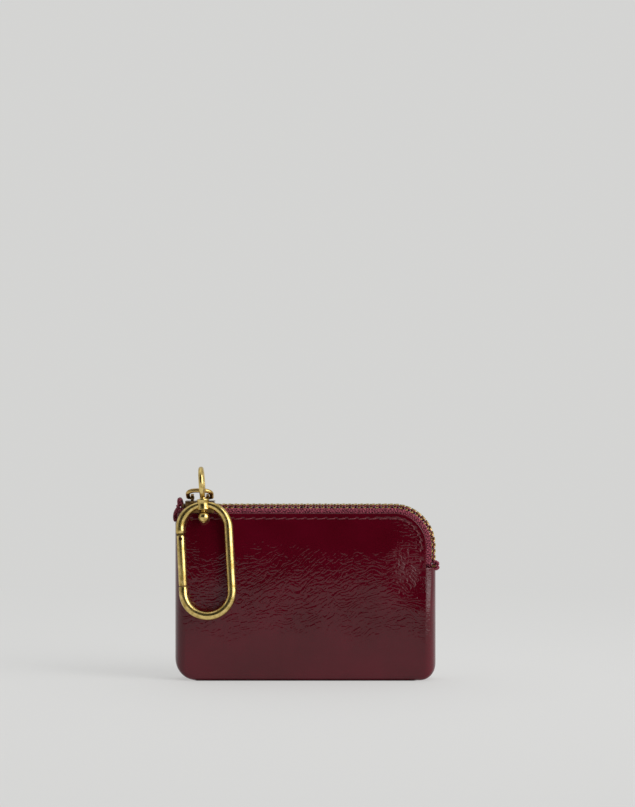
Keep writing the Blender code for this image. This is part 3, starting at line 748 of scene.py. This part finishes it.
def make_stitching(material):
    for word, side, nodes in (
        ("front", -1, ("topstitch_front", "topstitch_front_left")),
        ("back", 1, ("topstitch_back",)),
    ):
        points, faces = stitch_meshes(side)
        stitches = smooth(mesh_object("stitches_" + word, points, faces), 60)
        dress(stitches, material)
        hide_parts(*nodes)
        if side < 0:
            bend_with_mouth(stitches)
        else:
            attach(stitches, "pouch")


def rounded_line(points, times=3):
    """A line with its corners cut off again and again, its two ends kept."""
    for _ in range(times):
        cut = [points[0]]
        for p, q in zip(points, points[1:]):
            cut += [p.lerp(q, 0.25), p.lerp(q, 0.75)]
        points = cut + [points[-1]]
    return points


def make_tape_end(name, corners, half_width, node, material):
    """A folded end of tape: a short knitted strip along a line of (x, z) corners."""
    line = rounded_line([Vector((x, 0, z)) * MM for x, z in corners])
    columns = 29
    length = 0
    rows = []
    for i, p in enumerate(line):
        along = (line[min(i + 1, len(line) - 1)] - line[max(i - 1, 0)]).normalized()
        out = Vector((-along.z, 0, along.x))
        length += (p - line[i - 1]).length if i else 0
        for j in range(columns):
            across = 2 * j / (columns - 1) - 1
            loop = math.sin(2 * math.pi * length / END_KNIT) * math.sin(5 * math.pi * across)
            curl = 0.35 * MM * across ** 2
            rows.append(p + out * (0.1 * MM * loop + curl) + Vector((0, across * half_width, 0)))
    piece = smooth(mesh_object(name, rows, grid_faces(len(line), columns)))
    modify(piece, "SUBSURF", levels=1, render_levels=1)
    modify(piece, "SOLIDIFY", thickness=END_WALL, offset=0)
    dress(piece, material)
    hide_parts(node)
    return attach(piece, "pouch")


# ---------------------------------------------------------------- slider, bail, eye, clip, gate

def finish_cad(node, material, width):
    """A CAD node that stays: its hard edges are rounded and it takes its real finish."""
    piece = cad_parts[node]
    modify(piece, "WELD", merge_threshold=1e-6)
    modify(piece, "BEVEL", width=width, segments=3, limit_method="ANGLE", angle_limit=math.radians(35))
    dress(piece, material)


def make_bail(brass):
    """The bent wire: two pins turned inward, two legs that lean forward, and a bar with round shoulders."""
    across = Vector((1, 0, 0))
    ahead = Vector((0, -BAIL_FORWARD, BAIL_RISE))
    lean = ahead.normalized()
    bar = BAIL_PIVOT + ahead
    points = []
    for side in (-1, 1):
        pin = BAIL_PIVOT + across * side * (BAIL_HALF_SPAN - BAIL_PIN)
        foot = BAIL_PIVOT + across * side * (BAIL_HALF_SPAN - BAIL_FOOT_BEND) + lean * BAIL_FOOT_BEND
        half = [pin, pin + across * side * BAIL_PIN_STRAIGHT]
        half += arc(foot, -lean, across * side, BAIL_FOOT_BEND, 0, 90, 10)
        shoulder = bar + across * side * (BAIL_HALF_SPAN - BAIL_BEND) - lean * BAIL_BEND
        half += arc(shoulder, across * side, lean, BAIL_BEND, 0, 90, 24)
        points += half if side < 0 else list(reversed(half))
    thickened = [float(ramp((p - BAIL_PIVOT).dot(lean), 0, BAIL_FOOT_BEND)) for p in points]
    radii = [BAIL_RADIUS * (BAIL_PIN_SHARE + (1 - BAIL_PIN_SHARE) * share) for share in thickened]
    bail = smooth(mesh_object("bail_wire", *tube_mesh(points, radii, 32)), 50)
    dress(bail, brass)
    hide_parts("slider_bail")
    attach(bail, "bail")


def clip_axes():
    """The collar's centre, and the clip's own right, down and forward."""
    right = (Vector((1, 0, 0)) - CLIP_DOWN * CLIP_DOWN.x).normalized()
    return EYE_CENTRE + CLIP_DOWN * COLLAR_DROP, right, CLIP_DOWN, CLIP_DOWN.cross(right)


def clip_point(u, w, v=0):
    """The point u to the right, w down and v forward of the collar's centre."""
    origin, right, down, ahead = clip_axes()
    return origin + right * u + down * w + ahead * v


def make_eye(brass):
    """The ring, the post and the headed ball below the collar."""
    _, _, down, ahead = clip_axes()
    steps = 96
    ring = arc(EYE_CENTRE, down, ahead, EYE_RADIUS, 0, 360 - 360 / steps, steps - 1)
    eye = mesh_object("eye_ring", *tube_mesh(ring, [EYE_WIRE] * steps, 32, closed=True))
    ball_top, ball_low = BALL_DROP - BALL_RADIUS, BALL_DROP + BALL_RADIUS
    profile = [(EYE_RADIUS, POST_RADIUS), (EYE_RADIUS + EYE_WIRE, POST_RADIUS * 1.25)]
    profile += [(COLLAR_DROP - COLLAR_HALF - 0.35 * MM, POST_RADIUS), (ball_top, POST_RADIUS)]
    for i in range(3, 16):
        a = math.pi * i / 18
        profile.append((BALL_DROP - BALL_RADIUS * math.cos(a), BALL_RADIUS * math.sin(a)))
    for i in range(1, 8):
        a = math.pi / 2 * i / 7
        rise = NUB_RADIUS * 0.75 * math.sin(a)
        profile.append((ball_low - 0.55 * MM + rise, NUB_RADIUS * math.cos(a) + 0.02 * MM))
    points, faces = lathe(profile, EYE_CENTRE, down)
    combine(eye, mesh_object("eye_post_shape", points, faces), "UNION")
    smooth(eye, 50)
    dress(eye, brass)
    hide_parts("swivel_eye")
    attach(eye, "eye")


def rounded_end(radius, turn, steps, start, way):
    """A short rounded-over end of a rod, as (distance, radius) pairs."""
    angles = [math.pi / 2 * i / steps for i in range(steps + 1)]
    return [(start + way * turn * (1 - math.cos(a)), radius - turn + turn * math.sin(a)) for a in angles]


def box_object(name, low, high, axes, centre):
    """A box between two corners, which are measured from a centre along the three axes."""
    bm = bmesh.new()
    low, high = Vector(low), Vector(high)
    turn = Matrix(axes).transposed().to_4x4()
    turn.translation = centre
    size = Matrix.Diagonal((*(high - low), 1))
    bmesh.ops.create_cube(bm, size=1, matrix=turn @ Matrix.Translation((low + high) / 2) @ size)
    return object_from(bm, name)


def clip_wire(right, down):
    """(points, faces) of the bent wire, from the gate's top round to its bottom. It narrows at the collar."""
    line = [clip_point(-CLIP_RADIUS, GATE_TOP), clip_point(-CLIP_RADIUS, GATE_TOP - WIRE_END_STEP)]
    line += arc(clip_point(0, CLIP_RADIUS), right, down, CLIP_RADIUS, 180, 360, 72)
    line += arc(clip_point(0, CLIP_RADIUS + CLIP_STRAIGHT), right, down, CLIP_RADIUS, 0, 180, 72)
    line += [clip_point(-CLIP_RADIUS, GATE_BOTTOM + WIRE_END_STEP), clip_point(-CLIP_RADIUS, GATE_BOTTOM)]
    origin = clip_point(0, 0)
    neck = [float(ramp((p - origin).length, COLLAR_RADIUS, CLIP_RADIUS * 0.95)) for p in line]
    radii = [CLIP_NECK + (CLIP_WIRE - CLIP_NECK) * share for share in neck]
    radii[0] = radii[-1] = CLIP_WIRE - WIRE_END_TURN
    return tube_mesh(line, radii, 48)


def collar_profile():
    """The collar, turned: a rounded lip at each end of a barrel that is a little thinner."""
    half, barrel = COLLAR_HALF, COLLAR_RADIUS - LIP_HEIGHT
    profile = rounded_end(COLLAR_RADIUS, LIP_TURN, 4, -half, 1)
    profile += [(-half + LIP_WIDTH, COLLAR_RADIUS), (-half + LIP_WIDTH + LIP_SLOPE, barrel)]
    profile += [(half - LIP_WIDTH - LIP_SLOPE, barrel), (half - LIP_WIDTH, COLLAR_RADIUS)]
    return profile + rounded_end(COLLAR_RADIUS, LIP_TURN, 4, half, -1)[::-1]


def make_clip(brass):
    """The bent wire, the collar, and the tongue that the gate's pin goes through."""
    _, right, down, ahead = clip_axes()
    clip = mesh_object("clip_frame", *clip_wire(right, down))
    combine(clip, mesh_object("collar_shape", *lathe(collar_profile(), clip_point(0, 0), down)), "UNION")
    bore = [(-2 * COLLAR_HALF, COLLAR_BORE), (2 * COLLAR_HALF, COLLAR_BORE)]
    combine(clip, mesh_object("collar_bore", *lathe(bore, clip_point(0, 0), down)), "DIFFERENCE")
    tongue = clip_point(-CLIP_RADIUS, GATE_PIVOT)
    disc = [(-TONGUE_HALF, TONGUE_RADIUS), (TONGUE_HALF, TONGUE_RADIUS)]
    combine(clip, mesh_object("tongue_disc", *lathe(disc, tongue, ahead)), "UNION")
    low = (-TONGUE_RADIUS, -TONGUE_HALF, -2 * CLIP_WIRE)
    high = (TONGUE_RADIUS, TONGUE_HALF, 0)
    combine(clip, box_object("tongue_neck", low, high, (right, ahead, down), tongue), "UNION")
    hole = [(-3 * CLIP_WIRE, PIN_HOLE), (3 * CLIP_WIRE, PIN_HOLE)]
    combine(clip, mesh_object("pin_hole", *lathe(hole, tongue, ahead)), "DIFFERENCE")
    smooth(clip, 40)
    dress(clip, brass)
    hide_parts("carabiner_frame")
    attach(clip, "clip")


def make_gate(brass):
    """A tube, slotted at its top over the clip's tongue, with the pin's hole through both cheeks."""
    _, right, down, ahead = clip_axes()
    pivot = clip_point(-CLIP_RADIUS, GATE_PIVOT)
    length = GATE_BOTTOM - GAP - GATE_PIVOT
    profile = rounded_end(GATE_WIRE, 0.35 * MM, 5, GATE_START - GATE_PIVOT, 1)
    profile += rounded_end(GATE_WIRE, 0.2 * MM, 4, length, -1)[::-1]
    gate = mesh_object("gate_tube", *lathe(profile, pivot, down))
    bore = [(1 * MM, GATE_BORE), (length - 1.2 * MM, GATE_BORE)]
    combine(gate, mesh_object("gate_bore", *lathe(bore, pivot, down)), "DIFFERENCE")
    wide = 2 * GATE_WIRE
    low, high = (-wide, -GATE_SLOT, -wide), (wide, GATE_SLOT, TONGUE_RADIUS + GAP)
    combine(gate, box_object("gate_slot", low, high, (right, ahead, down), pivot), "DIFFERENCE")
    hole = [(-3 * GATE_WIRE, PIN_HOLE), (3 * GATE_WIRE, PIN_HOLE)]
    combine(gate, mesh_object("gate_pin_hole", *lathe(hole, pivot, ahead)), "DIFFERENCE")
    smooth(gate, 40)
    dress(gate, brass)
    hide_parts("carabiner_gate")
    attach(gate, "gate")


# ---------------------------------------------------------------- materials

class Nodes:
    """A material's nodes, made and linked in short calls."""

    def __init__(self, name):
        self.material = bpy.data.materials.new(name)
        self.material.use_nodes = True
        self.tree = self.material.node_tree
        self.shader = self.tree.nodes["Principled BSDF"]
        self.place = self.add("ShaderNodeTexCoord").outputs["Object"]

    def add(self, kind, links=(), **settings):
        """A node, with its inputs or its own settings given by name, and links as (input, source) pairs."""
        node = self.tree.nodes.new(kind)
        for key, value in settings.items():
            if key in node.inputs:
                node.inputs[key].default_value = value
            else:
                setattr(node, key, value)
        for key, source in links:
            self.tree.links.new(source, node.inputs[key])
        return node

    def noise(self, scale, detail=3.0, stretch=None):
        place = self.place
        if stretch:
            place = self.add("ShaderNodeMapping", [("Vector", place)], Scale=stretch).outputs[0]
        return self.add("ShaderNodeTexNoise", [("Vector", place)], Scale=scale, Detail=detail).outputs["Fac"]

    def blend_colours(self, factor, low, high, start=0.35, end=0.65):
        """One colour up to the start of a factor's range, another past its end, and a mix between."""
        node = self.add("ShaderNodeValToRGB", [("Fac", factor)])
        node.color_ramp.elements[0].position = start
        node.color_ramp.elements[0].color = (*low, 1)
        node.color_ramp.elements[1].position = end
        node.color_ramp.elements[1].color = (*high, 1)
        return node.outputs["Color"]

    def spread(self, value, low, high, start=0.3, end=0.7):
        """A value's range from start to end, stretched to low to high."""
        node = self.add("ShaderNodeMapRange", [("Value", value)])
        for key, number in (("From Min", start), ("From Max", end), ("To Min", low), ("To Max", high)):
            node.inputs[key].default_value = number
        return node.outputs["Result"]

    def less(self, value, amount):
        """A value less a fixed amount."""
        node = self.add("ShaderNodeMath", [(0, value)], operation="SUBTRACT")
        node.inputs[1].default_value = amount
        return node.outputs[0]

    def bump(self, height, distance, strength=1.0, under=None):
        links = [("Height", height)] + ([("Normal", under)] if under else [])
        return self.add("ShaderNodeBump", links, Strength=strength, Distance=distance).outputs["Normal"]

    def set(self, **values):
        """Fills the shader's inputs: a number or colour is set on the socket, a node's output is linked."""
        for key, value in values.items():
            socket = self.shader.inputs[key.replace("_", " ")]
            if isinstance(value, bpy.types.NodeSocket):
                self.tree.links.new(value, socket)
            else:
                socket.default_value = value


def leather_material():
    """Patent leather: a dark dyed hide under a thick clear coat, with pores and fine wrinkles in the coat."""
    n = Nodes("patent_leather")
    colour = n.blend_colours(n.noise(55, 4), (0.074, 0.0006, 0.0056), (0.094, 0.0009, 0.0082))
    pores = n.noise(2600, 2)
    fine = n.noise(700, 3, (1, 1, 1.9))
    normal = n.bump(fine, 0.00006, 0.5)
    normal = n.bump(pores, 0.00002, 0.35, normal)
    rough = n.spread(n.noise(180, 2), 0.38, 0.52)
    n.set(Base_Color=colour, Roughness=rough, Normal=normal, Coat_Normal=normal)
    n.set(Coat_Weight=0.8, Coat_Roughness=0.05, Coat_IOR=1.5)
    n.shader.inputs["Specular IOR Level"].default_value = 0
    return n.material


def brass_material(name, dark, bright):
    """Antique brass: polished and brown patches at random, with faint scratches."""
    n = Nodes(name)
    worn = n.noise(460, 6)
    colour = n.blend_colours(worn, dark, bright, 0.32, 0.62)
    scratch = n.noise(900, 2, (1, 1, 0.12))
    rough = n.spread(worn, 0.34, 0.17)
    normal = n.bump(scratch, 0.000006, 0.3)
    normal = n.bump(n.noise(240, 3), 0.00005, 0.25, normal)
    n.set(Base_Color=colour, Roughness=rough, Normal=normal, Metallic=1.0)
    return n.material


def cloth_material(name, low, high, thread_scale, roughness):
    """Woven cloth: crossing threads in the bump, a soft sheen, and uneven dye."""
    n = Nodes(name)
    colour = n.blend_colours(n.noise(1700, 2), low, high, 0.38, 0.62)
    across = n.add("ShaderNodeTexWave", [("Vector", n.place)], Scale=thread_scale, Distortion=0.6, Detail=1.0)
    along = n.add("ShaderNodeTexWave", [("Vector", n.place)], Scale=thread_scale, Distortion=0.6, Detail=1.0)
    along.bands_direction = "Z"
    links = [(0, across.outputs["Fac"]), (1, along.outputs["Fac"])]
    weave = n.add("ShaderNodeMath", links, operation="MULTIPLY")
    normal = n.bump(weave.outputs[0], 0.00008, 0.7)
    n.set(Base_Color=colour, Normal=normal, Roughness=roughness, Sheen_Weight=0.06, Sheen_Roughness=0.4)
    n.shader.inputs["Specular IOR Level"].default_value = 0.2
    return n.material


def thread_material():
    """Waxed thread with a diagonal twist."""
    n = Nodes("twisted_thread")
    twist = n.add("ShaderNodeTexWave", [("Vector", n.place)], Scale=900, Distortion=0.4, Detail=1.0)
    twist.bands_direction = "DIAGONAL"
    colour = n.blend_colours(twist.outputs["Fac"], (0.08, 0.003, 0.010), (0.22, 0.025, 0.035), 0.2, 0.8)
    normal = n.bump(twist.outputs["Fac"], 0.00006, 0.8)
    n.set(Base_Color=colour, Normal=normal, Roughness=0.55, Sheen_Weight=0.1)
    return n.material


def steel_material():
    """Drawn spring steel."""
    n = Nodes("spring_steel")
    colour = n.blend_colours(n.noise(700, 3), (0.34, 0.34, 0.35), (0.52, 0.52, 0.53))
    n.set(Base_Color=colour, Roughness=n.spread(n.noise(1500, 2), 0.28, 0.42), Metallic=1.0)
    return n.material


# ---------------------------------------------------------------- stage, light and camera

def floor_glow(n, level):
    return n.add("ShaderNodeEmission", Strength=1.0, Color=(level, level, level * WARMTH, 1)).outputs[0]


def outside_painted_shadow(n):
    """0 on the floor under the pouch's base, 1 outside it. Where it is 0 the floor's glow is left out, which
    paints a contact shadow.
    """
    parts = n.add("ShaderNodeSeparateXYZ", [(0, n.place)])
    past = []
    for axis, half, middle in (("X", HALF_WIDTH - CORNER_LEFT, PLACE.x), ("Y", BASE_SHADOW_HALF_DEPTH, PLACE.y)):
        size = n.add("ShaderNodeMath", [(0, n.less(parts.outputs[axis], middle))], operation="ABSOLUTE")
        past.append(n.less(size.outputs[0], half))
    outside = n.add("ShaderNodeMath", [(0, past[0]), (1, past[1])], operation="MAXIMUM")
    return n.spread(outside.outputs[0], 0, 1, 0, BASE_SHADE)


def make_floor():
    """A pale floor that glows a little, so that it stays even to the horizon. Its glow is left out under the
    base, which paints a contact shadow there.
    """
    bpy.ops.mesh.primitive_plane_add(size=12, location=(0, 0, -0.00005))
    floor = bpy.context.object
    floor.name = "floor"
    n = Nodes("pale_floor")
    grain = n.blend_colours(n.noise(900, 2), [FLOOR_PAINT * 0.99] * 3, [FLOOR_PAINT * 1.01] * 3)
    n.set(Base_Color=grain, Roughness=0.85)
    n.shader.inputs["Specular IOR Level"].default_value = 0.1
    painted = n.shader.outputs[0]
    lit = n.add("ShaderNodeAddShader", [(0, painted), (1, floor_glow(n, FLOOR_GLOW))])
    # Under the base the floor loses its glow and keeps only its paint: a painted contact shadow.
    near = n.add("ShaderNodeMixShader", [(0, outside_painted_shadow(n)), (1, painted), (2, lit.outputs[0])])
    reach = n.add("ShaderNodeVectorMath", [(0, n.place)], operation="LENGTH")
    share = n.spread(reach.outputs["Value"], 0, 1, *FLOOR_FADE)
    whole = n.add("ShaderNodeMixShader", [(0, share), (1, near.outputs[0]), (2, floor_glow(n, FLOOR_LEVEL))])
    n.tree.links.new(whole.outputs[0], n.tree.nodes["Material Output"].inputs["Surface"])
    floor.data.materials.append(n.material)


def glow_towards(tree, way, direction, start, end, low, high):
    """A brightness that goes from low to high as the way of a ray turns towards a direction."""
    facing = tree.nodes.new("ShaderNodeVectorMath")
    facing.operation = "DOT_PRODUCT"
    facing.inputs[1].default_value = direction
    tree.links.new(way, facing.inputs[0])
    level = tree.nodes.new("ShaderNodeMapRange")
    level.interpolation_type = "SMOOTHSTEP"
    for key, number in (("From Min", start), ("From Max", end), ("To Min", low), ("To Max", high)):
        level.inputs[key].default_value = number
    tree.links.new(facing.outputs["Value"], level.inputs["Value"])
    return level.outputs["Result"]


def make_world():
    """A pale studio with a window to the right. Its front is dark, which the glossy leather mirrors."""
    world = bpy.data.worlds.new("studio")
    bpy.context.scene.world = world
    world.use_nodes = True
    tree = world.node_tree
    nodes, links = tree.nodes, tree.links
    way = nodes.new("ShaderNodeTexCoord").outputs["Generated"]
    total = nodes.new("ShaderNodeMath")
    links.new(glow_towards(tree, way, DARK_WAY, 0.35, 0.85, STUDIO_LEVEL, STUDIO_DARK), total.inputs[0])
    links.new(glow_towards(tree, way, WINDOW_WAY, 0.76, 0.95, 0, WINDOW_LEVEL), total.inputs[1])
    sees = nodes.new("ShaderNodeLightPath")
    pick = nodes.new("ShaderNodeMix")
    links.new(sees.outputs["Is Camera Ray"], pick.inputs["Factor"])
    links.new(total.outputs[0], pick.inputs["A"])
    pick.inputs["B"].default_value = FLOOR_LEVEL
    background = nodes["Background"]
    links.new(pick.outputs["Result"], background.inputs["Strength"])
    background.inputs["Color"].default_value = (1, 1, WARMTH, 1)


def area_light(name, at, size, power, target=(0, 0, 0.04)):
    """A softbox that faces the pouch."""
    data = bpy.data.lights.new(name, "AREA")
    data.shape = "RECTANGLE"
    data.size, data.size_y = size
    data.energy = power
    lamp = bpy.data.objects.new(name, data)
    lamp.location = at
    lamp.rotation_euler = (Vector(target) - Vector(at)).to_track_quat("-Z", "Y").to_euler()
    bpy.context.scene.collection.objects.link(lamp)


def make_camera():
    """A level camera a metre off, in front of the pouch."""
    data = bpy.data.cameras.new("camera")
    data.lens = 100
    data.sensor_width = 36
    data.clip_start, data.clip_end = 0.05, 30
    camera = bpy.data.objects.new("camera", data)
    camera.location = CAMERA_PLACE + Vector((PLACE.x, 0, 0))
    camera.rotation_euler = (math.pi / 2, 0, 0)
    bpy.context.scene.collection.objects.link(camera)
    bpy.context.scene.camera = camera


make_camera()
make_floor()
make_world()
area_light("key", (0.75, -0.55, 0.75), (0.35, 0.8), 3)
area_light("top", (-0.1, 0.15, 1.2), (1.0, 1.0), 1.2)
bpy.context.scene.view_settings.view_transform = "Standard"

LEATHER_LOOK = leather_material()
BRASS = brass_material("antique_brass", (0.44, 0.305, 0.08), (0.82, 0.62, 0.24))
BRONZE = brass_material("worn_brass", (0.30, 0.17, 0.05), (0.60, 0.41, 0.14))
# The teeth's brass is darker than the clip's: their own tone, and painted shade for the shadowed gaps between
# the teeth.
TOOTH_BRASS_AND_SHADE = brass_material("tooth_brass_and_shade", (0.24, 0.14, 0.04), (0.72, 0.52, 0.19))
DARK_BRONZE = brass_material("dark_bronze", (0.06, 0.03, 0.012), (0.24, 0.14, 0.05))
TAPE = cloth_material("woven_tape", (0.07, 0.004, 0.014), (0.44, 0.085, 0.13), 700, 0.5)
LINING = cloth_material("lining_cloth", (0.07, 0.012, 0.02), (0.11, 0.022, 0.035), 800, 0.85)
THREAD_LOOK = thread_material()
STEEL = steel_material()

make_leather(LEATHER_LOOK)
make_lining(LINING)
make_zip(TAPE, TOOTH_BRASS_AND_SHADE)
make_stitching(THREAD_LOOK)
make_tape_end("tape_end_left", LEFT_END, 2.3 * MM, "zip_end_tab_left", TAPE)
make_tape_end("tape_end_right", RIGHT_END, 1.9 * MM, "zip_end_tab_right", TAPE)
make_bail(BRONZE)
make_eye(BRASS)
make_clip(BRASS)
make_gate(BRASS)
for node, width in (
    ("zip_slider_body", 0.35), ("zip_slider_lower_plate", 0.15), ("zip_top_stop_front", 0.2),
    ("zip_top_stop_back", 0.2), ("zip_bottom_stop", 0.25), ("gate_pin", 0.08),
):
    finish_cad(node, DARK_BRONZE, width * MM)
for node in ("gate_spring", "gate_plunger"):
    dress(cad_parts[node], STEEL)
